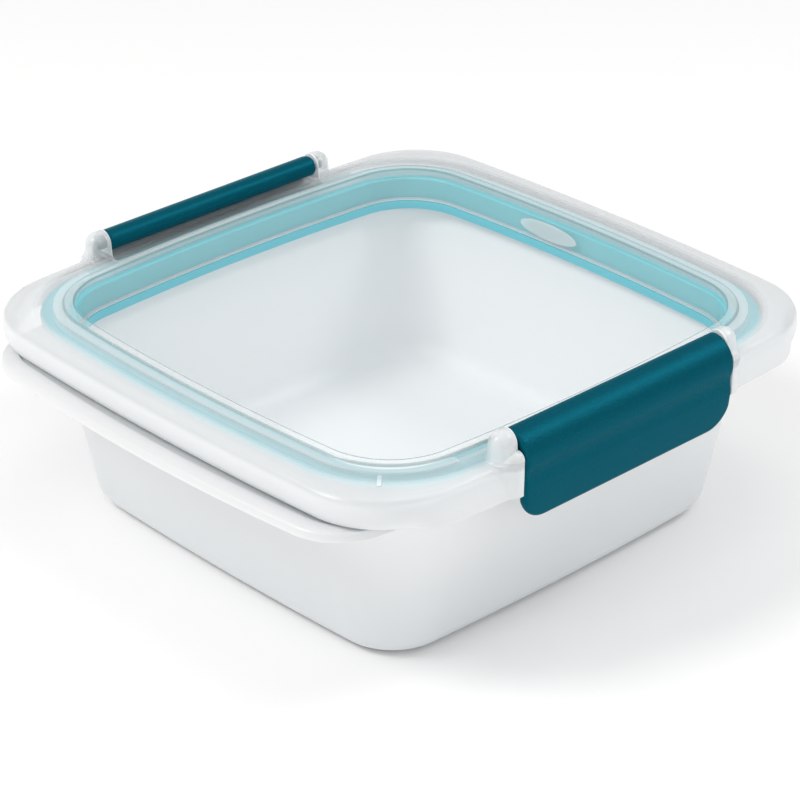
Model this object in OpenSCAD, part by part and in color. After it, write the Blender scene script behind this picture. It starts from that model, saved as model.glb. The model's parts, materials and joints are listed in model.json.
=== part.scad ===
// Square food container with a clear lid, a silicone seal and two latch bars.
// Millimetres. Origin: centre of the underside. +Z up, latch hinges run along X.

/* [Overall] */
// Width of the lid between the two plain sides, along X
lid_w = 177.6; // [170:0.1:186]
// Depth of the lid between the two latch sides, along Y
lid_d = 170.4; // [164:0.1:178]
// Height of the top face of the tub's lip
rim_top = 51.5; // [45:0.5:90]

/* [Tub] */
// Wall thickness of the tub
wall = 2.0; // [1.6:0.1:2.2]
// Thickness of the tub's floor
floor_t = 2.2; // [1.8:0.1:3]
// Thickness of the lip round the tub
rim_t = 2.2; // [1.8:0.1:2.6]
// How far the lip stands out past the lid on the plain sides
rim_out = 5.6; // [3:0.1:7]
// How far each wall leans in, from the lip to the floor
taper = 10.2; // [6:0.1:14]
// Radius between the walls and the underside
foot_r = 5; // [3:0.5:7]

/* [Lid] */
// Distance from the lid's edge in to the raised ring, on the plain sides
ring_in_x = 13.5; // [13:0.1:14.5]
// Distance from the lid's edge in to the raised ring, on the latch sides
ring_in_y = 10.9; // [10.9:0.1:11.6]
// Width of the raised ring
ring_w = 4.8; // [4.6:0.1:6]
// Thickness of the flange
flange_t = 1.7; // [1.5:0.1:1.9]
// Thickness of the window panel
panel_t = 1.4; // [1:0.1:1.8]
// Thickness of the rolled edge and the skirts
skirt_t = 1.8; // [1.4:0.1:2.2]

/* [Seal] */
// Thickness of the seal's upright leg
leg_t = 1.8; // [1.4:0.1:1.8]
// How far the seal's flat lip reaches out past the raised ring
lip_out = 6.5; // [4:0.1:6.5]
// Height of the bead at the foot of the seal
bead_h = 2.5; // [1.5:0.1:3]

/* [Latches] */
// Length of a latch bar along its hinge
latch_len = 78.4; // [60:0.2:84]
// Height of the hinge line above the lip
hinge_up = 13.9; // [13.5:0.05:14.2]
// Radius of the barrel round the hinge line
barrel_r = 3; // [2.7:0.05:3.1]
// Radius of the rolled top of the latch
roll_r = 7.65; // [7.4:0.05:7.9]
// Radius of the moulded hinge stubs
stub_r = 1.9; // [1.5:0.05:2]
// Radius of the flap's lower corners
flap_corner = 8; // [4:0.5:11]

/* [Hidden] */
$fn = 96;

// An outline is [half width, half depth, corner radius, bow radius of the sides].
FLANGE = [lid_w / 2, lid_d / 2, 25.5, 1000];
RING = [lid_w / 2 - ring_in_x, lid_d / 2 - ring_in_y, 24.2, 667];
RIM = [lid_w / 2 + rim_out, lid_d / 2 - 7.2, 17, 600];
WALL_TOP = inset(RING, -1.3);
WALL_FOOT = [WALL_TOP[0] - taper, WALL_TOP[1] - taper + 0.8, 17, 1100];

corner_steps = 12;
side_steps = 6;

// Heights
rim_under = rim_top - rim_t;
seal_wall_top = rim_top + 6.5;
flange_under = rim_top + 7.9;
flange_top = flange_under + flange_t;
ring_top = flange_top + 1.5;
panel_top = ring_top - 1;
plug_bottom = rim_top + 1.1;
roll_bottom = rim_top + 1.4;
skirt_bottom = rim_top - 0.1;

// Latch section, measured outward from the centre of the tub
hinge_u = lid_d / 2 - 4.2;
hinge_z = rim_top + hinge_up;
roll_u = hinge_u - 0.85;
roll_z = hinge_z - 4.6;
flap_t = 2.3;
flap_lean = 1.1;
flap_bottom = rim_top - 8.6;
tab_u = lid_d / 2 - 2.6;
tab_half = 35;
hook_gap = 0.25;

// Hinge ears
ear_gap = 0.3;
ear_in = latch_len / 2 + ear_gap;
ear_r = 3.55;
ear_flat = 2.4;
stub_len = 3.2;
stub_clearance = 0.05;
pocket_floor = rim_top + 8.7;
pocket_half = ear_in + ear_flat + ear_r + 1;
pocket_in = RING[1] + 0.9;

function inset(s, d) = [s[0] - d, s[1] - d, s[2] - d, s[3] - d];
function blend(s, t, k) = s + (t - s) * k;

// Centre of the corner arc that touches both side arcs
function corner_x(p, q, s) =
    let (m = p / q, n = (p * p - q * q) / (2 * q), h = p + m * n)
    (sqrt(h * h - (1 + m * m) * (p * p + n * n - s * s)) - h) / (1 + m * m);
function arc(cx, cy, r, a0, a1, steps) =
    [for (i = [0 : steps - 1]) let (t = a0 + (a1 - a0) * i / steps) [cx + r * cos(t), cy + r * sin(t)]];

// Closed outline of a square with bowed sides and round corners, as four equal turns
function outline(s) =
    let (
        p = s[3] - s[0],
        q = s[3] - s[1],
        cx = corner_x(p, q, s[3] - s[2]),
        cy = (2 * p * cx + p * p - q * q) / (2 * q),
        t1 = atan2(cy, cx + p),
        t2 = atan2(cx, cy + q)
    )
    concat(
        arc(-p, 0, s[3], -t1, t1, side_steps),
        arc(cx, cy, s[2], t1, 90 - t2, corner_steps),
        arc(0, -q, s[3], 90 - t2, 90 + t2, side_steps),
        arc(-cx, cy, s[2], 90 + t2, 180 - t1, corner_steps),
        arc(p, 0, s[3], 180 - t1, 180 + t1, side_steps),
        arc(-cx, -cy, s[2], 180 + t1, 270 - t2, corner_steps),
        arc(0, q, s[3], 270 - t2, 270 + t2, side_steps),
        arc(cx, -cy, s[2], 270 + t2, 360 - t1, corner_steps)
    );

// Solid skinned over a list of [outline, height] levels, the first and last ones closed flat
module skin(levels) {
    loops = [for (l = levels) [for (p = outline(l[0])) [p[0], p[1], l[1]]]];
    n = len(loops[0]);
    last = len(loops) - 1;
    sides = [
        for (k = [0 : last - 1], i = [0 : n - 1])
            let (j = (i + 1) % n)
            each [
                [k * n + i, (k + 1) * n + i, (k + 1) * n + j],
                [k * n + i, (k + 1) * n + j, k * n + j]
            ]
    ];
    caps = [
        [for (i = [0 : n - 1]) i],
        [for (i = [n - 1 : -1 : 0]) last * n + i]
    ];
    polyhedron(points = [for (l = loops) each l], faces = concat(sides, caps));
}

module slab(s, z0, z1) {
    translate([0, 0, z0])
        linear_extrude(z1 - z0)
            polygon(outline(s));
}

module band(s, width, z0, z1) {
    difference() {
        slab(s, z0, z1);
        slab(inset(s, width), z0 - 1, z1 + 1);
    }
}

// Box placed at all four corners: low and high corner in the +X +Y quarter
module four_boxes(low, high) {
    for (sx = [-1, 1], sy = [-1, 1])
        scale_sign(sx, sy)
            translate(low) cube(high - low);
}

module scale_sign(sx, sy) {
    mirror([sx < 0 ? 1 : 0, 0, 0])
        mirror([0, sy < 0 ? 1 : 0, 0])
            children();
}

// ---- Tub ----

function foot_inset(k) = foot_r * (1 - cos(90 - 90 * k));
function foot_height(k) = foot_r * (1 - sin(90 - 90 * k));
function wall_at(z) = blend(WALL_FOOT, WALL_TOP, z / rim_under);
inner_r = foot_r - wall + 1;

outer_levels = concat(
    [for (k = [0 : 0.25 : 1]) [inset(wall_at(foot_height(k)), foot_inset(k)), foot_height(k)]],
    [
        [wall_at(rim_under / 2), rim_under / 2],
        [WALL_TOP, rim_under],
        [inset(RIM, 0.6), rim_under],
        [RIM, rim_under + 0.6],
        [RIM, rim_top - 0.8],
        [inset(RIM, 0.8), rim_top],
        [WALL_TOP, rim_top],
        [WALL_TOP, seal_wall_top - 0.4],
        [inset(WALL_TOP, 0.4), seal_wall_top]
    ]
);
inner_levels = concat(
    [
        [inset(WALL_TOP, wall - 0.4), seal_wall_top],
        [inset(WALL_TOP, wall), seal_wall_top - 0.4],
        [inset(WALL_TOP, wall), rim_under],
        [inset(wall_at(rim_under / 2), wall), rim_under / 2]
    ],
    [
        for (k = [1 : -0.25 : 0])
            let (z = floor_t + inner_r * (1 - cos(90 * k)))
            [inset(wall_at(z), wall + inner_r * (1 - sin(90 * k))), z]
    ]
);

module catch_tab() {
    translate([0, 0, rim_under])
        linear_extrude(rim_t)
            polygon([
                [-tab_half - 5, WALL_TOP[1] - wall / 2],
                [-tab_half, tab_u],
                [tab_half, tab_u],
                [tab_half + 5, WALL_TOP[1] - wall / 2]
            ]);
}

module container_base() {
    color([0.93, 0.95, 0.96]) {
        skin(concat(outer_levels, inner_levels));
        catch_tab();
        mirror([0, 1, 0]) catch_tab();
    }
}

// ---- Lid ----

module flange() {
    difference() {
        union() {
            slab(inset(FLANGE, 0.3), flange_under, flange_top - 0.6);
            slab(inset(FLANGE, 1.3), flange_top - 0.7, flange_top);
            band(inset(RING, -3), ring_w + 3, flange_top - 0.1, flange_top + 0.7);
        }
        slab(inset(RING, ring_w - 0.1), flange_under - 1, ring_top + 1);
        // room for the latch barrels between the ears
        for (sy = [-1, 1])
            scale_sign(1, sy) {
                translate([-pocket_half, pocket_in, pocket_floor])
                    cube([2 * pocket_half, 40, 10]);
                translate([-ear_in, hinge_u + ear_r - 0.6, flange_under - 1])
                    cube([2 * ear_in, 40, 10]);
            }
    }
}

module window_panel() {
    slab(inset(RING, ring_w - 0.2), panel_top - panel_t, panel_top);
    band(RING, ring_w, flange_top - 0.5, ring_top);
    band(inset(RING, ring_w - 1.5), 1.5, plug_bottom, panel_top - 0.5);
}

// Rolled edge on the plain sides, running round the corners
module rolled_edge() {
    difference() {
        union() {
            band(inset(FLANGE, 1.6), skirt_t, roll_bottom, roll_bottom + 0.9);
            band(inset(FLANGE, 0.6), skirt_t + 0.6, roll_bottom + 0.8, roll_bottom + 2.1);
            band(FLANGE, skirt_t, roll_bottom + 2, flange_under + 0.1);
        }
        for (sy = [-1, 1])
            scale_sign(1, sy)
                translate([-ear_in, hinge_u - 4, roll_bottom - 1])
                    cube([2 * ear_in, 40, 12]);
    }
}

// Skirts that come down beside each latch, closed by a fin at the latch's end
module skirts() {
    SKIRT = [FLANGE[0], FLANGE[1] + 1.6, FLANGE[2], FLANGE[3]];
    intersection() {
        union() {
            band(SKIRT, skirt_t, skirt_bottom, flange_under + 0.1);
            band(inset(SKIRT, 0.8), skirt_t, flange_under, flange_under + 0.8);
        }
        four_boxes([ear_in, 76, skirt_bottom], [68.5, 90, flange_under + 5]);
    }
    for (sx = [-1, 1], sy = [-1, 1])
        scale_sign(sx, sy) {
            translate([ear_in, hinge_u, skirt_bottom])
                cube([1.8, lid_d / 2 + 1.9 - hinge_u, hinge_z - 3.5 - skirt_bottom]);
            translate([ear_in, lid_d / 2 - 0.6, hinge_z - 3.6])
                rotate([0, 90, 0]) cylinder(r = 2.5, h = 1.8);
        }
}

module ear() {
    difference() {
        union() {
            translate([ear_in, hinge_u, hinge_z])
                rotate([0, 90, 0]) cylinder(r = ear_r, h = ear_flat);
            translate([ear_in, hinge_u - ear_r, flange_under + 0.2])
                cube([ear_flat, 2 * ear_r, hinge_z - flange_under - 0.2]);
            translate([ear_in + ear_flat, hinge_u, hinge_z])
                sphere(r = ear_r);
            translate([ear_in + ear_flat, hinge_u, flange_under + 0.2])
                cylinder(r = ear_r, h = hinge_z - flange_under - 0.2);
        }
        // the half of the dome on the latch's side
        translate([ear_in - 10, hinge_u - 10, flange_under - 1])
            cube([10, 20, 20]);
        translate([ear_in - 1, hinge_u, hinge_z])
            rotate([0, 90, 0])
                cylinder(r = stub_r + stub_clearance, h = stub_len + 1.3);
    }
}

module lid() {
    color([0.88, 0.93, 0.94, 0.75]) {
        flange();
        window_panel();
        rolled_edge();
        skirts();
        for (sx = [-1, 1], sy = [-1, 1])
            scale_sign(sx, sy) ear();
    }
}

// ---- Seal ----

module seal_ring() {
    leg_out = ring_w - 1.5 - 0.05;
    color([0.60, 0.83, 0.87]) {
        // upright leg round the plug wall
        band(inset(RING, leg_out - leg_t), leg_t, plug_bottom - 0.3, flange_under - 0.05);
        // bead under the plug wall
        band(inset(RING, leg_out - leg_t - 0.45), ring_w - leg_out + leg_t + 0.45,
             plug_bottom - 0.1 - bead_h, plug_bottom - 0.1);
        // flat lip under the flange
        band(inset(RING, -lip_out), lip_out + leg_out - leg_t + 0.1,
             seal_wall_top + 0.3, flange_under - 0.05);
    }
}

// ---- Latches ----

module latch_section() {
    translate([hinge_u, hinge_z]) circle(r = barrel_r);
    intersection() {
        translate([roll_u, roll_z]) circle(r = roll_r);
        translate([hinge_u + 0.4, roll_z]) square(12);
    }
    polygon([
        [roll_u + roll_r, roll_z],
        [roll_u + roll_r - flap_t - 0.4, roll_z + 0.5],
        [roll_u + roll_r - flap_t, roll_z],
        [roll_u + roll_r - flap_t - flap_lean, flap_bottom + flap_t / 2],
        [roll_u + roll_r - flap_lean, flap_bottom + flap_t / 2]
    ]);
    translate([roll_u + roll_r - flap_lean - flap_t / 2, flap_bottom + flap_t / 2])
        circle(r = flap_t / 2);
}

module latch_outline() {
    half = latch_len / 2;
    translate([-half, flap_bottom + flap_corner]) square([2 * half, 30]);
    translate([flap_corner - half, flap_bottom]) square([2 * (half - flap_corner), 30]);
    for (sx = [-1, 1])
        translate([sx * (half - flap_corner), flap_bottom + flap_corner])
            circle(r = flap_corner);
}

// Latch bar on the +Y side
module latch_bar() {
    intersection() {
        translate([-latch_len / 2, 0, 0])
            rotate([90, 0, 90]) linear_extrude(latch_len) latch_section();
        translate([0, hinge_u + 20, 0])
            rotate([90, 0, 0]) linear_extrude(40) latch_outline();
    }
    // hinge stubs
    for (sx = [-1, 1])
        scale_sign(sx, 1)
            translate([latch_len / 2 - 1, hinge_u, hinge_z])
                rotate([0, 90, 0]) cylinder(r = stub_r, h = stub_len + 1);
    // hook ledge
    translate([2 - tab_half, 0, 0])
        rotate([90, 0, 90])
            linear_extrude(2 * (tab_half - 2))
                polygon([
                    [tab_u + hook_gap, rim_under - 0.5],
                    [tab_u + hook_gap, rim_under - 1.5],
                    [roll_u + roll_r - flap_t - 0.5, rim_under - 3],
                    [roll_u + roll_r - flap_t - 0.5, rim_under - 0.5]
                ]);
}

module front_latch() {
    color([0, 0.33, 0.4]) mirror([0, 1, 0]) latch_bar();
}

module rear_latch() {
    color([0, 0.33, 0.4]) latch_bar();
}

container_base();
lid();
seal_ring();
front_latch();
rear_latch();
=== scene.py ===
import json
import math

import bmesh
import bpy
from mathutils import Matrix, Vector


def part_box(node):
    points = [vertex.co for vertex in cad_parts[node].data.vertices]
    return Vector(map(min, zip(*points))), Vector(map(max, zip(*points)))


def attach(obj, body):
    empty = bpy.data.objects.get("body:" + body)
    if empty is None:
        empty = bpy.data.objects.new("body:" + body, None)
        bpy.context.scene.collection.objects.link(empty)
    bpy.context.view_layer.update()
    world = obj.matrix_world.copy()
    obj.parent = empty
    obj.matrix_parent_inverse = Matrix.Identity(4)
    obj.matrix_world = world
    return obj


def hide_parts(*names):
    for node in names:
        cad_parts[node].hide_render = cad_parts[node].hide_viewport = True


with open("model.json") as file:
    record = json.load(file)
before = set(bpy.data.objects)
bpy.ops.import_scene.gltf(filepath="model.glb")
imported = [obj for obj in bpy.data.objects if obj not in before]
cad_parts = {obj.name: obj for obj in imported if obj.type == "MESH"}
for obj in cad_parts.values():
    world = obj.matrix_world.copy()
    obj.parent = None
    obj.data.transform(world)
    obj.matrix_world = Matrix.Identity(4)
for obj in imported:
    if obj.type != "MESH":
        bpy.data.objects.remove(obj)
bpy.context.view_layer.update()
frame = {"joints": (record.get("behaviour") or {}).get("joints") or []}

MM = 0.001

# ---------------------------------------------------------------- sizes, in millimetres


def box_mm(node):
    low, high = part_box(node)
    return Vector(low) / MM, Vector(high) / MM


TUB_TOP = box_mm("container_base")[1]
LID_TOP = box_mm("lid")[1]
LATCH_TOP = box_mm("rear_latch")[1]
HINGE = Vector(next(j for j in frame["joints"] if j["name"] == "rear_latch_hinge")["pos_m"]) / MM

RIM_TOP = TUB_TOP.z - 6.5
RIM_UNDER = RIM_TOP - 2.6
FLANGE_TOP = RIM_TOP + 9.7
FLANGE_UNDER = RIM_TOP + 7.9
LAND_TOP = FLANGE_TOP + 0.55
RIDGE_TOP = RIM_TOP + 11.1
PANEL_TOP = RIM_TOP + 10.4
PANEL_UNDER = RIM_TOP + 9.1
PLUG_FOOT = RIM_TOP + 1.0
WALL = 2.0
FLOOR_TOP = 2.2
FOOT_RING = 0.7
LATCH_HALF = LATCH_TOP.x - 3.2
EAR_IN = LATCH_HALF + 0.3

# A shape built on the +X +Y side is mirrored to these places.
QUARTERS = [(1, 1), (-1, 1), (-1, -1), (1, -1)]
SIDES = [(1, 1), (1, -1)]
ONCE = [(1, 1)]
BOTH_ENDS = [(1, 1), (-1, 1)]

# In from the raised ring's foot to the window and to the plug wall's two faces,
# and out from it across the land and along the seal's lip.
WINDOW_EDGE = 3.15
PLUG_OUTER = 3.4
PLUG_INNER = 4.8
LAND_WIDTH = 3.05
LIP_OUT = 6.5

PAD_HALF = (11.6, 2.7)
RIB_LENGTH = 7.5
RIB_HALF = 0.55

# ---------------------------------------------------------------- camera and lights

# Degrees, metres and watts.
CAMERA_AZIMUTH = -43.465
CAMERA_ELEVATION = 28.06
CAMERA_DISTANCE = 0.8431
CAMERA_LENS = 134.88
CAMERA_AIM = Vector((-0.0001, 0, 0.031))

WHITE = (1, 1, 1)
WARM = (1, 0.975, 0.955)

# Name, place, target, size, power, colour.
LIGHTS = [
    ("softbox_back_left", (-0.75, 0.35, 0.9), (0, 0, 0.03), (0.34, 0.34), 5.4, WARM),
    ("softbox_front", (-0.25, -1.15, 0.5), (0, 0, 0.04), (0.8, 0.5), 1.2, WHITE),
    ("softbox_right", (0.61, -0.4, 0.75), (0.03, -0.085, 0.06), (0.24, 0.24), 1.8, WHITE),
    ("softbox_top", (0.1, -0.1, 1.25), (0, 0, 0.03), (0.5, 0.5), 1.2, WHITE),
]

# ---------------------------------------------------------------- outlines


class Outline:
    """A square with bowed sides and round corners."""

    def __init__(self, half_width, half_depth, corner, bow):
        self.a, self.b, self.r, self.bow = half_width, half_depth, corner, bow
        p, q, s = bow - half_width, bow - half_depth, bow - corner
        m, n = p / q, (p * p - q * q) / (2 * q)
        h = p + m * n
        self.cx = (math.sqrt(h * h - (1 + m * m) * (p * p + n * n - s * s)) - h) / (1 + m * m)
        self.cy = m * self.cx + n
        self.p, self.q = p, q

    def inset(self, d):
        return Outline(self.a - d, self.b - d, self.r - d, self.bow - d)

    def drawn_in(self, dx, dy, corner):
        return Outline(self.a - dx, self.b - dy, corner, self.bow)

    def toward(self, other, k):
        pairs = zip(self.values(), other.values())
        return Outline(*[u + (v - u) * k for u, v in pairs])

    def values(self):
        return self.a, self.b, self.r, self.bow


FLANGE = Outline(LID_TOP.x, LID_TOP.y - 1.9, 25.5, 1000)
RING = Outline(FLANGE.a - 13.5, FLANGE.b - 10.9, 24.2, 667)
RIM = Outline(TUB_TOP.x, FLANGE.b - 7.2, 17, 600)
WALL_TOP = RING.inset(-1.3)
WALL_LEAN = (10.2, 9.4)
WALL_FOOT = Outline(WALL_TOP.a - WALL_LEAN[0], WALL_TOP.b - WALL_LEAN[1], 17, 1100)

# The tub's catch tab, and the hook that stops a gap short of its face.
TAB_FACE = FLANGE.b - 2.6
TAB_HALF = 35
HOOK_GAP = 0.25
HOOK_HALF = 33
SIDE_STEPS = 56
CORNER_STEPS = 20


class Pen:
    """Draws a chain of edges in a bmesh: straight steps, and arcs made with spin."""

    def __init__(self, bm, start):
        self.bm = bm
        self.first = self.last = bmesh.ops.create_vert(bm, co=start)["vert"][0]
        self.verts = [self.first]
        self.edges = []

    def to(self, point):
        made = bmesh.ops.extrude_vert_indiv(self.bm, verts=[self.last])
        self.last = made["verts"][0]
        self.last.co = point
        self.verts.append(self.last)
        self.edges += made["edges"]

    def turn(self, centre, axis, degrees, steps):
        spoke = self.last.co - Vector(centre)
        for k in range(1, steps + 1):
            swing = Matrix.Rotation(math.radians(degrees * k / steps), 3, axis)
            self.to(Vector(centre) + swing @ spoke)
        return self

    def close(self):
        closing = self.bm.edges.new((self.last, self.first))
        self.edges.append(closing)
        return self

    def weld(self):
        """Closes a loop whose last point has come back to the first."""
        before, end = self.verts[-2], self.verts.pop()
        self.edges.pop()
        self.bm.verts.remove(end)
        self.last = before
        return self.close()


def outline_points(shape, z):
    """The outline's points in order, drawn side by side and corner by corner."""
    sketch = bmesh.new()
    t1 = math.degrees(math.atan2(shape.cy, shape.cx + shape.p))
    t2 = math.degrees(math.atan2(shape.cx, shape.cy + shape.q))
    half = SIDE_STEPS // 2
    pen = Pen(sketch, (shape.a, 0, z))
    sides = [(-shape.p, 0, t1), (0, -shape.q, t2), (shape.p, 0, t1), (0, shape.q, t2)]
    for k, (x, y, reach) in enumerate(sides):
        if k == 0:
            pen.turn((x, y, z), "Z", reach, half)
        else:
            pen.turn((x, y, z), "Z", 2 * reach, SIDE_STEPS)
        sx, sy = QUARTERS[k]
        pen.turn((sx * shape.cx, sy * shape.cy, z), "Z", 90 - t1 - t2, CORNER_STEPS)
    pen.turn((-shape.p, 0, z), "Z", t1, half)
    points = [v.co.copy() for v in pen.verts[:-1]]
    sketch.free()
    return points


def level_points(level):
    points = outline_points(level[0], level[1])
    return [level[2](p) for p in points] if len(level) > 2 else points


def skin(bm, levels, ring=False):
    """Extrudes one outline from level to level.

    A ring joins the last level to the first. Otherwise both ends are capped.
    """
    points = level_points(levels[0])
    loop = [bm.verts.new(p) for p in points]
    edges = [bm.edges.new(pair) for pair in zip(loop, loop[1:] + loop[:1])]
    first = edges
    if not ring:
        bm.faces.new(loop)
    for level in levels[1:]:
        made = bmesh.ops.extrude_edge_only(bm, edges=edges)["geom"]
        fresh = {g for g in made if isinstance(g, bmesh.types.BMVert)}
        loop = [
            next(e.other_vert(v) for e in v.link_edges if e.other_vert(v) in fresh)
            for v in loop
        ]
        for v, p in zip(loop, level_points(level)):
            v.co = p
        edges = [bm.edges.get(pair) for pair in zip(loop, loop[1:] + loop[:1])]
    if ring:
        bmesh.ops.bridge_loops(bm, edges=first + edges)
    else:
        bm.faces.new(loop)


# ---------------------------------------------------------------- finishing pieces

SHARP_ANGLE = math.radians(32)


def finish_piece(bm, name, body, material, node):
    """Turns a shape in millimetres into a visible piece that rides on a body."""
    bmesh.ops.recalc_face_normals(bm, faces=bm.faces)
    bmesh.ops.scale(bm, vec=(MM, MM, MM), verts=bm.verts)
    mesh = bpy.data.meshes.new(name)
    bm.to_mesh(mesh)
    bm.free()
    mesh.shade_smooth()
    mesh.set_sharp_from_angle(angle=SHARP_ANGLE)
    piece = bpy.data.objects.new(name, mesh)
    bpy.context.scene.collection.objects.link(piece)
    mesh.materials.append(material)
    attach(piece, body)
    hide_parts(node)


def solid_object(bm, name):
    """A loose working solid in millimetres, for joining and cutting."""
    bmesh.ops.recalc_face_normals(bm, faces=bm.faces)
    mesh = bpy.data.meshes.new(name)
    bm.to_mesh(mesh)
    bm.free()
    made = bpy.data.objects.new(name, mesh)
    bpy.context.scene.collection.objects.link(made)
    return made


def carve(target, tool, operation):
    """Applies one exact boolean to the target's mesh and deletes the tool."""
    step = target.modifiers.new(operation, "BOOLEAN")
    step.operation = operation
    step.solver = "EXACT"
    step.object = tool
    dg = bpy.context.evaluated_depsgraph_get()
    carved = bpy.data.meshes.new_from_object(target.evaluated_get(dg))
    target.modifiers.clear()
    target.data = carved
    bpy.data.objects.remove(tool)


def released(solid):
    """A working solid's shape as a bmesh again, with the object deleted."""
    bm = bmesh.new()
    bm.from_mesh(solid.data)
    bpy.data.objects.remove(solid)
    return bm


def copies(build, places):
    """One working solid made of mirrored copies of a shape built on the +X +Y side."""
    joined = bmesh.new()
    for sx, sy in places:
        bm = bmesh.new()
        build(bm)
        bmesh.ops.scale(bm, vec=(sx, sy, 1), verts=bm.verts)
        mesh = bpy.data.meshes.new("copy")
        bm.to_mesh(mesh)
        bm.free()
        joined.from_mesh(mesh)
        bpy.data.meshes.remove(mesh)
    return solid_object(joined, build.__name__)


def loft(bm, loops):
    """Bridges loops in order and closes both ends."""
    for low, high in zip(loops, loops[1:]):
        bmesh.ops.bridge_loops(bm, edges=low.edges + high.edges)
    bmesh.ops.contextual_create(bm, geom=loops[0].edges)
    bmesh.ops.contextual_create(bm, geom=loops[-1].edges)


# ---------------------------------------------------------------- materials


class Wire:
    """A shader socket that takes Python's operators."""

    def __init__(self, tree, socket):
        self.tree, self.socket = tree, socket

    def math(self, operation, *others, clamp=False):
        node = self.tree.nodes.new("ShaderNodeMath")
        node.operation = operation
        node.use_clamp = clamp
        for slot, value in zip(node.inputs, others):
            plug(self.tree, slot, value)
        return Wire(self.tree, node.outputs[0])

    def __add__(self, other):
        return self.math("ADD", self, other)

    __radd__ = __add__

    def __mul__(self, other):
        return self.math("MULTIPLY", self, other)

    __rmul__ = __mul__

    def __sub__(self, other):
        return self.math("SUBTRACT", self, other)

    def __rsub__(self, other):
        return self.math("SUBTRACT", other, self)

    def __gt__(self, other):
        return self.math("GREATER_THAN", self, other)

    def __lt__(self, other):
        return self.math("LESS_THAN", self, other)

    def __abs__(self):
        return self.math("ABSOLUTE", self)

    def clamped(self):
        return self.math("ADD", self, 0.0, clamp=True)


def plug(tree, slot, value):
    if isinstance(value, Wire):
        tree.links.new(value.socket, slot)
    else:
        slot.default_value = value


class Finish:
    """A material built round one Principled shader."""

    def __init__(self, name, **settings):
        self.material = bpy.data.materials.new(name)
        self.material.use_nodes = True
        self.tree = self.material.node_tree
        self.shader = next(n for n in self.tree.nodes if n.type == "BSDF_PRINCIPLED")
        for socket, value in settings.items():
            self.shader.inputs[socket.replace("_", " ")].default_value = value

    def node(self, kind, settings=None, out=0, **inputs):
        made = self.tree.nodes.new(kind)
        for key, value in (settings or {}).items():
            setattr(made, key, value)
        for key, value in inputs.items():
            plug(self.tree, made.inputs[key.replace("_", " ")], value)
        return Wire(self.tree, made.outputs[out])

    def place(self):
        return self.node("ShaderNodeTexCoord", out="Object")

    def noise(self, scale, detail=2.0, roughness=0.5):
        return self.node(
            "ShaderNodeTexNoise", Vector=self.place(),
            Scale=scale, Detail=detail, Roughness=roughness,
        )

    def axes_mm(self):
        split = self.tree.nodes.new("ShaderNodeSeparateXYZ")
        plug(self.tree, split.inputs[0], self.place())
        return [Wire(self.tree, s) * 1000.0 for s in split.outputs]

    def blend(self, factor, low, high):
        made = self.tree.nodes.new("ShaderNodeMix")
        made.data_type = "RGBA"
        plug(self.tree, made.inputs["Factor"], factor)
        plug(self.tree, made.inputs[6], low)
        plug(self.tree, made.inputs[7], high)
        return Wire(self.tree, made.outputs[2])

    def ramp(self, value, low, high):
        """0 below low and 1 above high."""
        return self.node(
            "ShaderNodeMapRange", {"interpolation_type": "SMOOTHSTEP"},
            Value=value, From_Min=low, From_Max=high,
        )

    def bump(self, height, strength, distance):
        return self.node("ShaderNodeBump", Strength=strength, Distance=distance, Height=height)

    def use(self, **links):
        for socket, value in links.items():
            plug(self.tree, self.shader.inputs[socket.replace("_", " ")], value)


def depth_inside(finish, x, y, shape):
    """Distance from an outline in towards the centre, negative outside it."""
    ax, ay = abs(x), abs(y)

    def length(u, v):
        return (u * u + v * v).math("SQRT", u * u + v * v)

    from_x = shape.bow - length(ax + shape.p, ay)
    from_y = shape.bow - length(ax, ay + shape.q)
    corner = shape.r - length(ax - shape.cx, ay - shape.cy)
    in_corner = (ax > shape.cx) * (ay > shape.cy)
    side = from_x.math("MINIMUM", from_x, from_y)
    return in_corner * corner + (1.0 - in_corner) * side


def tub_finish():
    finish = Finish("white_tub_plastic", IOR=1.49, Coat_Weight=0.12, Coat_Roughness=0.3)
    x, y, z = finish.axes_mm()
    cloud = finish.noise(22.0, 3.0)
    # Painted shade: the wall's colour darkens from the rim down to the floor.
    painted_shade_ramp = finish.ramp(z, 1.0, 46.0)
    shade = finish.blend(painted_shade_ramp, (0.71, 0.745, 0.765, 1), (0.83, 0.845, 0.855, 1))
    # Painted shade: from just under the rim upwards the colour is darker, to hold down the light on
    # the rim's up-facing top.
    shade = finish.blend(finish.ramp(z, RIM_UNDER - 1.0, RIM_TOP), shade, (0.755, 0.765, 0.775, 1))
    tint = finish.blend(cloud * 0.3, shade, (0.85, 0.86, 0.865, 1))
    # Painted light: inside the wall the colour is lighter, standing in for light that the lamps
    # bring into the tub too weakly.
    depth = depth_inside(finish, x, y, WALL_FOOT) + z * (10.2 / RIM_UNDER)
    inside = finish.ramp(depth, 0.3, 1.7) * (z > 1.6)
    tint = finish.blend(inside, tint, (0.90, 0.915, 0.925, 1))
    grain = finish.noise(1100.0, 2.0)
    flow = finish.noise(60.0, 2.0)
    scuff = finish.ramp(1.2 - z, 0.0, 1.0)
    finish.use(
        Base_Color=tint,
        Roughness=(0.30 + flow * 0.12 + scuff * 0.25 + inside * 0.1).clamped(),
        Normal=finish.bump(grain + flow * 3.0, 0.06, 0.0004),
    )
    return finish.material


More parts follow.
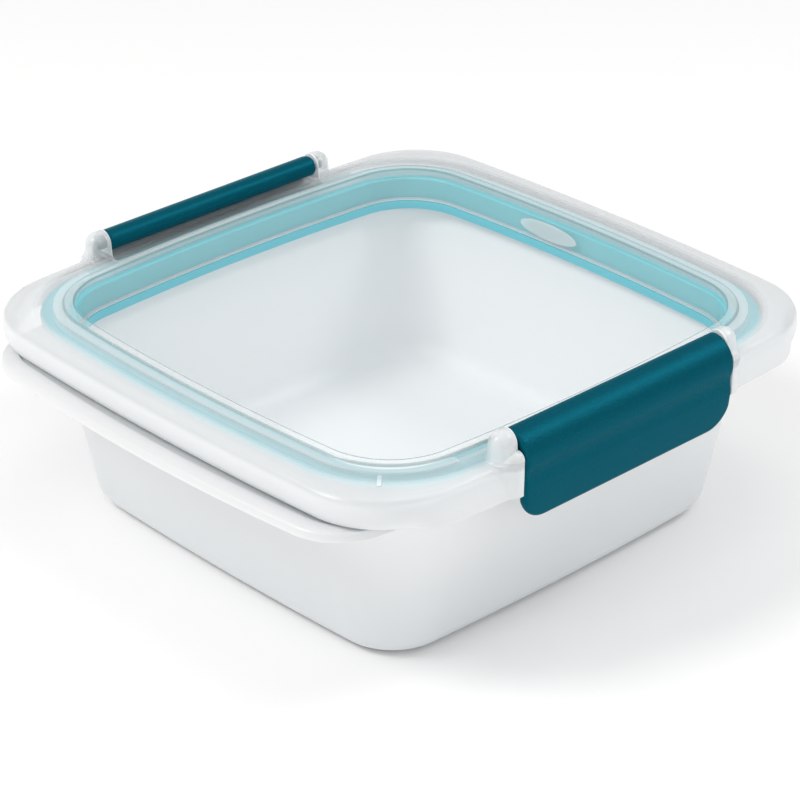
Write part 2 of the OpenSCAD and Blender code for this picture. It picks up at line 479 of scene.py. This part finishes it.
def seal_finish():
    finish = Finish("blue_seal_silicone", IOR=1.42)
    x, y, z = finish.axes_mm()
    cloud = finish.noise(35.0, 3.0)
    tint = finish.blend(cloud, (0.15, 0.61, 0.69, 1), (0.19, 0.67, 0.74, 1))
    bead = finish.ramp(PLUG_FOOT + 0.3 - z, 0.0, 0.6)
    tint = finish.blend(bead * 0.7, tint, (0.06, 0.50, 0.62, 1))
    dust = finish.noise(1400.0, 2.0)
    finish.use(
        Base_Color=tint,
        Roughness=0.42 + cloud * 0.18,
        Normal=finish.bump(dust, 0.08, 0.0003),
    )
    return finish.material


def latch_finish():
    finish = Finish(
        "teal_latch_plastic", IOR=1.5, Specular_IOR_Level=0.05, Metallic=0.46,
        Specular_Tint=(0.3, 0.8, 0.9, 1),
    )
    grain_and_painted_glint = finish.noise(2600.0, 2.0, 0.6)
    grain = finish.noise(3600.0, 1.0)
    cloud = finish.noise(50.0, 3.0)
    tint = finish.blend(cloud, (0.001, 0.083, 0.122, 1), (0.002, 0.093, 0.136, 1))
    # Painted glints: lighter teal specks, near the colour of the roll's highlight, go into the base
    # colour; the same noise also gives real grain in roughness and bump.
    tint = finish.blend(finish.ramp(grain_and_painted_glint, 0.55, 0.72) * 0.5, tint, (0.02, 0.15, 0.19, 1))
    finish.use(
        Base_Color=tint,
        Roughness=0.24 + cloud * 0.06 + grain_and_painted_glint * 0.14,
        Normal=finish.bump(grain_and_painted_glint + grain * 0.4, 0.35, 0.0003),
    )
    return finish.material


def lid_finish():
    """Clear in the window and hazier outside it, by distance in from the ring's foot."""
    finish = Finish("frosted_lid_plastic", IOR=1.49, Specular_IOR_Level=0.8)
    x, y, z = finish.axes_mm()
    d = depth_inside(finish, x, y, RING)
    within = d > WINDOW_EDGE
    above = z > PANEL_UNDER - 0.15
    window = within * above
    plug_wall = (d > 2.0) * (1.0 - above)
    plug_foot = plug_wall * finish.ramp(PLUG_FOOT + 0.9 - z, 0.0, 0.5)
    on_pad = (d > PLUG_INNER + 0.02) * (x > 0.0) * (z < PANEL_UNDER - 0.62)
    badge = on_pad * (1.0 - plug_foot)
    ridge = (d > 0.1) * (1.0 - within) * above
    land = (d < 0.1) * (d > -3.2) * (z > FLANGE_TOP + 0.2)
    skirted = finish.ramp(-4.5 - d, 2.2, 4.6)
    outer = finish.ramp(0.0 - d, 5.4, 7.8) * (1.0 - skirted * 0.6)
    rolled = finish.ramp(FLANGE_UNDER + 1.0 - z, 0.0, 1.4) * (d < 1.0)
    on_rib = (d < -4.0) * (z > FLANGE_TOP + 0.15) * (z < FLANGE_TOP + 0.5)
    rib = on_rib * at_rib_corner(x, y)
    over_ridge = finish.ramp(z, RIDGE_TOP + 0.15, RIDGE_TOP + 0.9)
    over_flange = (d < -3.6) * finish.ramp(z, FLANGE_TOP + 0.5, FLANGE_TOP + 0.9)
    raised = (over_ridge + over_flange).clamped()
    # Painted highlight: a whiter, more opaque line along the edge of each ear's flat face.
    painted_arch_highlight = finish.ramp(0.42 - abs(abs(x) - EAR_IN - 0.1), 0.0, 0.25) * raised
    over_lip = (d < -3.1) * (1.0 - outer) * (z > FLANGE_UNDER) * (1.0 - skirted)
    # Painted dark lines along the ring's foot, the ridge's inner edge and the land's outer edge,
    # standing in for refraction and reflection at steep faces; they darken the colour and raise the
    # haze.
    painted_foot_line = finish.ramp(0.55 - abs(d), 0.0, 0.35) * (z > LAND_TOP - 0.25)
    painted_inner_line = finish.ramp(0.5 - abs(d - 2.95), 0.0, 0.3) * (z > PANEL_TOP - 0.1)
    painted_land_line = finish.ramp(0.4 - abs(d + 2.95), 0.0, 0.3) * (z > FLANGE_TOP + 0.02)
    haze = 0.25 - window * 0.20
    for region, amount in (
        (plug_wall, -0.20), (ridge, 0.05), (land, 0.18), (over_lip, -0.12),
        (plug_foot, 0.42), (badge, 0.5), (rib, 0.35),
        (outer, 0.2), (skirted, 0.24), (rolled, 0.26), (painted_arch_highlight, 0.5), (raised, 0.12),
        (painted_foot_line, 0.36), (painted_inner_line, 0.45), (painted_land_line, 0.15),
    ):
        haze = haze + region * amount
    cloud = finish.noise(18.0, 2.0)
    flow = finish.noise(70.0, 2.0)
    body = finish.blend(cloud, (0.86, 0.885, 0.90, 1), (0.92, 0.935, 0.945, 1))
    body = finish.blend(outer, body, (0.85, 0.88, 0.90, 1))
    # The painted dark refraction lines are mixed into the colour here.
    painted_refraction_lines = (painted_foot_line * 0.8 + painted_inner_line + painted_land_line * 0.3).clamped()
    with_painted_lines = finish.blend(painted_refraction_lines, body, (0.24, 0.38, 0.40, 1))
    finish.use(
        Base_Color=with_painted_lines,
        Alpha=haze.clamped(),
        Roughness=0.14 + skirted * 0.16 + flow * 0.06,
        Normal=finish.bump(flow, 0.02, 0.0005),
    )
    return finish.material


def at_rib_corner(x, y):
    """1 near the front left corner, where the rib is."""
    return (x < -60.0) * (y < -58.0)


# ---------------------------------------------------------------- tub


def wall_at(z):
    """The tub wall's outer outline at a height."""
    return WALL_FOOT.toward(WALL_TOP, z / RIM_UNDER)


def fillet(radius, steps):
    """Pairs of (distance from the wall, height above the floor) round a quarter turn."""
    turns = [math.radians(90 * k / steps) for k in range(steps + 1)]
    return [(radius * (1 - math.sin(t)), radius * (1 - math.cos(t))) for t in turns]


def rim_edge():
    """The rim's rounded edge, its flat top and the groove that takes the lid's roll.

    Each row: how far in along X and along Y, corner radius, height.
    """
    return [
        (0.45, 0.3, 16.6, RIM_UNDER), (0.12, 0.08, 16.9, RIM_UNDER + 0.1),
        (0, 0, 17, RIM_UNDER + 0.35),
        (0.2, 0.12, 16.9, RIM_UNDER + 0.65), (0.35, 0.22, 16.7, RIM_TOP - 1.2),
        (0.5, 0.3, 16.6, RIM_TOP - 0.6), (0.8, 0.42, 16.4, RIM_TOP - 0.2),
        (1.3, 0.5, 16.2, RIM_TOP),
        (5.5, 0.8, 18, RIM_TOP), (5.8, 0.85, 18.1, RIM_TOP - 0.25), (6.0, 0.9, 18.2, RIM_TOP - 0.9),
        (8.5, 1.1, 19.5, RIM_TOP - 1.0), (10.5, 1.25, 20.5, RIM_TOP - 0.8),
        (12, 1.4, 21.5, RIM_TOP - 0.1),
    ]


def make_tub(material):
    bm = bmesh.new()
    levels = [
        (wall_at(0).inset(16), FOOT_RING),
        (wall_at(0).inset(11.2), FOOT_RING),
        (wall_at(0).inset(10.7), FOOT_RING - 0.1),
        (wall_at(0).inset(10.2), 0.15),
        (wall_at(0).inset(9.8), 0),
    ]
    levels += [(wall_at(z).inset(d), z) for d, z in fillet(5.5, 8)]
    levels += [(wall_at(z), z) for z in (12, 20, 28, 36, 43, RIM_UNDER - 1.4)]
    levels += [
        (WALL_TOP.toward(RIM, 0.01), RIM_UNDER - 0.6),
        (WALL_TOP.toward(RIM, 0.03), RIM_UNDER - 0.2),
        (WALL_TOP.toward(RIM, 0.07), RIM_UNDER),
        (WALL_TOP.toward(RIM, 0.7), RIM_UNDER),
    ]
    levels += [(RIM.drawn_in(dx, dy, r), z) for dx, dy, r, z in rim_edge()]
    levels += [
        (WALL_TOP.inset(-0.7), RIM_TOP - 0.02),
        (WALL_TOP.inset(-0.25), RIM_TOP + 0.25),
        (WALL_TOP, RIM_TOP + 0.9),
        (WALL_TOP, TUB_TOP.z - 0.7),
        (WALL_TOP.inset(0.3), TUB_TOP.z - 0.15),
        (WALL_TOP.inset(0.8), TUB_TOP.z),
        (WALL_TOP.inset(WALL - 0.8), TUB_TOP.z),
        (WALL_TOP.inset(WALL - 0.3), TUB_TOP.z - 0.15),
        (WALL_TOP.inset(WALL), TUB_TOP.z - 0.7),
        (WALL_TOP.inset(WALL), RIM_UNDER),
    ]
    levels += [(wall_at(z).inset(WALL), z) for z in (43, 36, 28, 20, 12)]
    inner = [(d + WALL, z + FLOOR_TOP) for d, z in fillet(6, 10)]
    levels += [(wall_at(z).inset(d), z) for d, z in reversed(inner)]
    levels.append((wall_at(0).inset(14), FLOOR_TOP))
    skin(bm, levels)
    tub = solid_object(bm, "tub_shell")
    carve(tub, copies(catch_tab, SIDES), "UNION")
    finish_piece(released(tub), "tub", "base", material, "container_base")


def rounded_plate(bm, corners, z0, z1, radius):
    """A flat plate between two heights, its outline bevelled at the corners."""
    pen = Pen(bm, (*corners[0], z0))
    for x, y in corners[1:]:
        pen.to((x, y, z0))
    pen.close()
    face = bmesh.ops.contextual_create(bm, geom=pen.edges)["faces"]
    top = bmesh.ops.extrude_face_region(bm, geom=face)["geom"]
    raised = [g for g in top if isinstance(g, bmesh.types.BMVert)]
    bmesh.ops.translate(bm, vec=(0, 0, z1 - z0), verts=raised)
    uprights = [e for e in bm.edges if abs(e.verts[0].co.z - e.verts[1].co.z) > 0.5 * (z1 - z0)]
    bmesh.ops.bevel(
        bm, geom=uprights, offset=radius, offset_type="OFFSET", segments=5,
        profile=0.5, affect="EDGES", material=-1,
    )


def catch_tab(bm):
    """The tab behind each flap, from the tub's wall out to just behind the hook."""
    inside = WALL_TOP.b - 1
    foot = TAB_HALF + 6
    corners = [(-foot, inside), (-TAB_HALF, TAB_FACE), (TAB_HALF, TAB_FACE), (foot, inside)]
    rounded_plate(bm, corners, RIM_UNDER + 0.2, RIM_TOP - 0.1, 0.4)


# ---------------------------------------------------------------- lid

SKIRT_END = 70.5
LAND_END = 50.5


def flared(d, dz, skirt_d, skirt_dz):
    """Moves a point of the rolled edge out and down where it becomes a skirt beside a latch."""

    def move(co):
        along, across = abs(co.x), abs(co.y)
        if across < 74 or along > SKIRT_END:
            return co
        k = min(1.0, (SKIRT_END - along) / 9.0)
        share = math.sqrt(1 - (1 - k) ** 2)
        out = math.copysign(share * (d - skirt_d), co.y)
        return Vector((co.x, co.y + out, co.z + share * (skirt_dz - dz)))

    return move


def land_end(co):
    """Runs the land beside the ring out before it reaches the ears."""
    along, across = abs(co.x), abs(co.y)
    if across < 70 or along > LAND_END + 3:
        return co
    k = max(0.0, min(1.0, (along - LAND_END) / 3.0))
    rise = math.sqrt(1 - (1 - k) ** 2)
    lift = max(0.0, co.z - FLANGE_TOP)
    return Vector((co.x, co.y, co.z - lift * (1 - rise)))


def edge_levels():
    """The flange's rolled edge: distance in and drop of the roll, then of the skirt."""
    rows = [
        (3.4, -0.02, 3.2, -0.02), (1.95, -0.25, 1.8, -0.25), (0.85, -0.9, 0.7, -0.9),
        (0.2, -2.0, -0.15, -2.0), (0, -3.6, -0.65, -3.6), (0.07, -5.2, -0.95, -5.3),
        (0.3, -6.6, -1.2, -7.2), (0.8, -7.9, -1.4, -8.9), (1.6, -8.85, -1.3, -9.6),
        (2.5, -9.1, -0.9, -9.8), (3.4, -8.6, 0.1, -9.6), (3.5, -7.0, 0.7, -7.5),
        (3.3, -4.5, 0.8, -4.5), (3.4, -3.0, 1.2, -3.0), (4.2, -2.1, 2.2, -2.1),
        (5.6, -1.8, 3.6, -1.8),
    ]
    return [(FLANGE.inset(row[0]), FLANGE_TOP + row[1], flared(*row)) for row in rows]


def make_lid(material):
    bm = bmesh.new()
    levels = [
        (RING.inset(16), PANEL_TOP),
        (RING.inset(WINDOW_EDGE), PANEL_TOP),
        (RING.inset(2.85), PANEL_TOP + 0.12),
        (RING.inset(2.7), PANEL_TOP + 0.45),
        (RING.inset(2.45), RIDGE_TOP - 0.1),
        (RING.inset(2.0), RIDGE_TOP),
        (RING.inset(0.9), RIDGE_TOP),
        (RING.inset(0.4), RIDGE_TOP - 0.1),
        (RING.inset(0.08), RIDGE_TOP - 0.4),
        (RING.inset(0), LAND_TOP + 0.15),
        (RING.inset(-0.15), LAND_TOP, land_end),
        (RING.inset(-2.5), LAND_TOP, land_end),
        (RING.inset(-2.85), LAND_TOP - 0.12, land_end),
        (RING.inset(-LAND_WIDTH), FLANGE_TOP + 0.08),
        (RING.inset(-3.4), FLANGE_TOP),
    ]
    levels += edge_levels()
    levels += [
        (RING.inset(2.9), FLANGE_UNDER),
        (RING.inset(3.2), FLANGE_UNDER - 0.2),
        (RING.inset(3.3), FLANGE_UNDER - 0.6),
        (RING.inset(PLUG_OUTER), PLUG_FOOT + 0.6),
        (RING.inset(3.6), PLUG_FOOT + 0.15),
        (RING.inset(4.05), PLUG_FOOT),
        (RING.inset(4.5), PLUG_FOOT + 0.15),
        (RING.inset(4.7), PLUG_FOOT + 0.6),
        (RING.inset(PLUG_INNER), PANEL_UNDER - 0.6),
        (RING.inset(5.0), PANEL_UNDER - 0.15),
        (RING.inset(5.4), PANEL_UNDER),
        (RING.inset(16), PANEL_UNDER),
    ]
    skin(bm, levels)
    shell = solid_object(bm, "lid_shell")
    carve(shell, copies(notch, SIDES), "DIFFERENCE")
    carve(shell, copies(trough, SIDES), "DIFFERENCE")
    carve(shell, copies(fin, QUARTERS), "UNION")
    carve(shell, copies(ear, QUARTERS), "UNION")
    carve(shell, copies(ear_socket, QUARTERS), "DIFFERENCE")
    carve(shell, copies(badge_pad, ONCE), "UNION")
    carve(shell, copies(corner_rib, ONCE), "UNION")
    finish_piece(released(shell), "lid_shell", "lid", material, "lid")


def notch(bm):
    """Room for the hanging flap, cut through the flange's edge between the fins."""
    y = HINGE.y + 3
    corners = [(-EAR_IN, y), (EAR_IN, y), (EAR_IN, y + 20), (-EAR_IN, y + 20)]
    rounded_plate(bm, corners, RIM_TOP - 5, RIDGE_TOP + 5, 0.4)


def trough(bm):
    """The shallow trough under the latch's barrel."""
    y = RING.b + 0.9
    corners = [(-EAR_IN, y), (EAR_IN, y), (EAR_IN, y + 20), (-EAR_IN, y + 20)]
    rounded_plate(bm, corners, RIM_TOP + 8.7, RIDGE_TOP + 5, 0.8)


def draw_fin(bm, x, trim):
    """The fin's outline in the plane across the latch."""
    inner, outer = HINGE.y + 0.2, LID_TOP.y + 0.1 - trim
    top, bottom = HINGE.z - 1.2 - trim, RIM_TOP
    bend = 2.2
    pen = Pen(bm, (x, inner, FLANGE_UNDER + 0.3))
    pen.to((x, inner, top))
    pen.to((x, outer - bend, top))
    pen.turn((x, outer - bend, top - bend), "X", -90, 6)
    pen.to((x, outer - 0.15, bottom + 0.3))
    pen.to((x, outer - 0.5, bottom))
    pen.to((x, outer - 1.8, bottom))
    pen.to((x, outer - 2.6, FLANGE_UNDER + 0.3))
    return pen.close()


def fin(bm):
    """The upright end of a skirt, which dies away into the flange."""
    stations = [
        (0, 0.35), (0.12, 0.1), (0.4, 0), (1.4, 0), (2.0, 0.15), (2.8, 0.55),
        (3.7, 1.15), (4.8, 1.9), (6.2, 2.7), (7.8, 3.4),
    ]
    loft(bm, [draw_fin(bm, EAR_IN + step, trim) for step, trim in stations])


EAR_R = 3.55
EAR_FLAT = 2.4


def draw_ear(bm, z, w):
    """The ear's level outline: flat towards the latch and round away from it."""
    end = EAR_IN + EAR_FLAT
    lip = min(0.3, w / 2)
    pen = Pen(bm, (EAR_IN, HINGE.y - w + lip, z))
    pen.to((EAR_IN + lip, HINGE.y - w, z))
    pen.to((end, HINGE.y - w, z))
    pen.turn((end, HINGE.y, z), "Z", 180, 20)
    pen.to((EAR_IN + lip, HINGE.y + w, z))
    pen.to((EAR_IN, HINGE.y + w - lip, z))
    return pen.close()


def ear(bm):
    foot = [(-0.5, 1.3), (0, 1.3), (0.25, 0.8), (0.6, 0.5), (1.1, 0.32), (2.0, 0.2), (3.2, 0.08)]
    loops = [draw_ear(bm, FLANGE_TOP + up, EAR_R + out) for up, out in foot]
    loops.append(draw_ear(bm, HINGE.z, EAR_R))
    for k in range(1, 11):
        turn = math.radians(8.7 * k)
        loops.append(draw_ear(bm, HINGE.z + EAR_R * math.sin(turn), EAR_R * math.cos(turn)))
    loft(bm, loops)


def draw_circle(bm, centre, radius, steps):
    start = Vector(centre) + Vector((0, radius, 0))
    return Pen(bm, start).turn(centre, "X", 360, steps).weld()


def ear_socket(bm):
    """The blind hole in an ear for the latch's stub."""
    spots = [(-1, 1.95), (3.1, 1.95), (3.5, 1.5)]
    loft(bm, [draw_circle(bm, (EAR_IN + x, HINGE.y, HINGE.z), r, 32) for x, r in spots])


def badge_pad(bm):
    """A plain blank oval raised on the plug wall's inner face."""
    wall = RING.a - 4.75
    steps = ((-0.6, 1), (0.3, 1), (0.45, 0.93))
    loops = [draw_circle(bm, (wall - depth, 0, 0), size, 48) for depth, size in steps]
    bmesh.ops.scale(bm, vec=(1, *PAD_HALF), verts=bm.verts)
    bmesh.ops.translate(bm, vec=(0, 11.3, RIM_TOP + 5.2), verts=bm.verts)
    loft(bm, loops)


def corner_rib(bm):
    """A short moulded rib on the flange at the front left corner."""
    corners = [(-RIB_HALF, 0), (RIB_HALF, 0), (RIB_HALF, RIB_LENGTH), (-RIB_HALF, RIB_LENGTH)]
    rounded_plate(bm, corners, FLANGE_TOP - 0.3, FLANGE_TOP + 0.3, 0.4)
    slant = Matrix.Rotation(math.radians(135), 3, "Z")
    bmesh.ops.rotate(bm, cent=(0, 0, 0), matrix=slant, verts=bm.verts)
    bmesh.ops.translate(bm, vec=(-68.9, -65.3, 0), verts=bm.verts)


# ---------------------------------------------------------------- seal


def make_seal(material):
    bm = bmesh.new()
    top = FLANGE_UNDER - 0.05
    lip_under = TUB_TOP.z + 0.3
    bead_foot = PLUG_FOOT - 2.6
    rows = [
        (4.5, bead_foot), (4.8, bead_foot + 0.1), (4.9, bead_foot + 0.4), (4.9, PLUG_FOOT - 0.5),
        (4.75, PLUG_FOOT - 0.2), (4.4, PLUG_FOOT - 0.1), (3.4, PLUG_FOOT - 0.1), (3.27, PLUG_FOOT),
        (3.25, top - 0.3), (2.95, top), (0.4 - LIP_OUT, top), (0.1 - LIP_OUT, top - 0.1),
        (-LIP_OUT, top - 0.35), (-LIP_OUT, lip_under + 0.3), (0.1 - LIP_OUT, lip_under + 0.08),
        (0.4 - LIP_OUT, lip_under), (0.9, lip_under),
        (1.3, lip_under - 0.15), (1.45, lip_under - 0.6), (1.45, PLUG_FOOT + 0.9),
        (1.3, PLUG_FOOT + 0.4), (0.95, PLUG_FOOT - 0.1), (0.9, bead_foot + 0.6),
        (1.05, bead_foot + 0.15), (1.4, bead_foot),
    ]
    skin(bm, [(RING.inset(d), z) for d, z in rows], ring=True)
    finish_piece(bm, "seal", "lid", material, "seal_ring")


# ---------------------------------------------------------------- latches

ROLL_R = 7.65
ROLL_Y = HINGE.y - 0.85
ROLL_Z = HINGE.z - 4.6
FLAP_T = 2.3
FLAP_LEAN = 1.1
FLAP_FOOT = RIM_TOP - 8.6
FLAP_CORNER = 8
BARREL_R = 3
END_ROUND = 0.8


def draw_latch(bm, x, raised, trim):
    """The latch's section: barrel, roll and flap. Its foot is raised near the ends."""
    face = ROLL_Y + ROLL_R
    lean = FLAP_LEAN * (1 - raised / (ROLL_Z - FLAP_FOOT))
    foot = FLAP_FOOT + raised
    cap = FLAP_T / 2
    radius = ROLL_R - trim
    start = math.radians(79.5)
    pen = Pen(bm, (x, ROLL_Y + radius * math.cos(start), ROLL_Z + radius * math.sin(start)))
    pen.turn((x, ROLL_Y, ROLL_Z), "X", -101.5, 32)
    for drop, tuck in ((3.5, 0.68), (4.4, 0.74), (5.4, 0.66), (6.6, 0.48), (7.8, 0.38)):
        pen.to((x, face - trim - tuck, ROLL_Z - drop))
    pen.to((x, face - lean - trim, foot + cap))
    pen.turn((x, face - lean - cap, foot + cap), "X", -180, 8)
    inner = face - FLAP_T + trim
    pen.to((x, inner - lean * 0.5, (ROLL_Z + foot) / 2))
    pen.to((x, inner - 0.1, ROLL_Z - 1.6))
    pen.to((x, inner - 0.6, ROLL_Z - 0.5))
    pen.to((x, inner - 1.6, ROLL_Z + 0.3 + trim))
    low = math.radians(-50)
    barrel = BARREL_R - trim
    pen.to((x, HINGE.y + barrel * math.cos(low), HINGE.z + barrel * math.sin(low)))
    pen.turn((x, HINGE.y, HINGE.z), "X", -224, 26)
    return pen.close()


def latch_stations():
    """Places along the latch: x, the rise of the flap's foot, the trim of the section."""
    half, corner = LATCH_HALF, FLAP_CORNER
    right = [(0, 0, 0), (half - corner, 0, 0)]
    steps = [k / 12 for k in range(1, 11)] + [0.87, 0.91, 0.94, 0.97, 0.99, 1.0]
    for k in steps:
        x = half - corner + corner * math.sin(math.radians(90 * k))
        rise = corner * (1 - math.cos(math.radians(90 * k)))
        over = max(0.0, x - (half - END_ROUND)) / END_ROUND
        right.append((x, rise, END_ROUND * (1 - math.sqrt(1 - min(0.98, over) ** 2))))
    return [(-x, rise, trim) for x, rise, trim in reversed(right[1:])] + right


def latch_stub(bm):
    """The round stub that turns in an ear's socket."""
    spots = [(-1.0, 1.9), (2.8, 1.9), (3.2, 1.5)]
    loft(bm, [draw_circle(bm, (LATCH_HALF + x, HINGE.y, HINGE.z), r, 32) for x, r in spots])


def latch_hook(bm):
    """The ledge inside the flap, which stops just short of the tub's catch tab."""
    root = ROLL_Y + ROLL_R - FLAP_T - 0.4
    tip = TAB_FACE + HOOK_GAP
    under = RIM_UNDER - 0.1
    loops = []
    bevel = HOOK_HALF - 0.4
    for x, trim in ((-HOOK_HALF, 0.3), (-bevel, 0), (bevel, 0), (HOOK_HALF, 0.3)):
        pen = Pen(bm, (x, tip + trim, under - 0.3))
        pen.to((x, tip + 0.3 + trim, under - trim))
        pen.to((x, root, under - trim))
        pen.to((x, root, under - 2.8 + trim))
        pen.to((x, tip + trim, under - 1.2))
        loops.append(pen.close())
    loft(bm, loops)


def make_latch(side, body, material):
    """The latch bar on the +Y side, or mirrored to the -Y side."""
    bm = bmesh.new()
    loft(bm, [draw_latch(bm, *station) for station in latch_stations()])
    bar = solid_object(bm, "latch_bar")
    carve(bar, copies(latch_stub, BOTH_ENDS), "UNION")
    carve(bar, copies(latch_hook, ONCE), "UNION")
    shaped = released(bar)
    bmesh.ops.scale(shaped, vec=(1, side, 1), verts=shaped.verts)
    finish_piece(shaped, body + "_bar", body, material, body)


# ---------------------------------------------------------------- camera, light and floor


def make_camera():
    camera = bpy.data.objects.new("camera", bpy.data.cameras.new("camera"))
    bpy.context.scene.collection.objects.link(camera)
    azimuth, elevation = math.radians(CAMERA_AZIMUTH), math.radians(CAMERA_ELEVATION)
    back = Vector((
        math.sin(azimuth) * math.cos(elevation),
        -math.cos(azimuth) * math.cos(elevation),
        math.sin(elevation),
    ))
    camera.location = CAMERA_AIM + back * CAMERA_DISTANCE
    camera.rotation_mode = "QUATERNION"
    camera.rotation_quaternion = (-back).to_track_quat("-Z", "Y")
    camera.data.sensor_width = 36
    camera.data.lens = CAMERA_LENS
    camera.data.clip_start, camera.data.clip_end = 0.05, 20
    bpy.context.scene.camera = camera


def make_light(name, place, target, size, power, colour):
    data = bpy.data.lights.new(name, "AREA")
    data.shape = "RECTANGLE"
    data.size, data.size_y = size
    data.energy = power
    data.color = colour
    light = bpy.data.objects.new(name, data)
    bpy.context.scene.collection.objects.link(light)
    light.location = place
    aim = Vector(target) - Vector(place)
    light.rotation_mode = "QUATERNION"
    light.rotation_quaternion = aim.to_track_quat("-Z", "Y")


def make_studio():
    world = bpy.data.worlds.new("studio")
    bpy.context.scene.world = world
    world.use_nodes = True
    background = world.node_tree.nodes["Background"]
    background.inputs["Color"].default_value = (1, 1, 1, 1)
    background.inputs["Strength"].default_value = 0.66
    bpy.context.scene.view_settings.view_transform = "Standard"
    for light in LIGHTS:
        make_light(*light)
    bm = bmesh.new()
    bmesh.ops.create_grid(bm, x_segments=1, y_segments=1, size=6)
    mesh = bpy.data.meshes.new("floor")
    bm.to_mesh(mesh)
    bm.free()
    floor = bpy.data.objects.new("floor", mesh)
    bpy.context.scene.collection.objects.link(floor)
    floor.location.z = -0.0002
    paint = Finish("floor_white", Roughness=0.9, Base_Color=(0.96, 0.96, 0.96, 1))
    mesh.materials.append(paint.material)


make_camera()
make_studio()
make_tub(tub_finish())
make_lid(lid_finish())
make_seal(seal_finish())
teal = latch_finish()
make_latch(-1, "front_latch", teal)
make_latch(1, "rear_latch", teal)
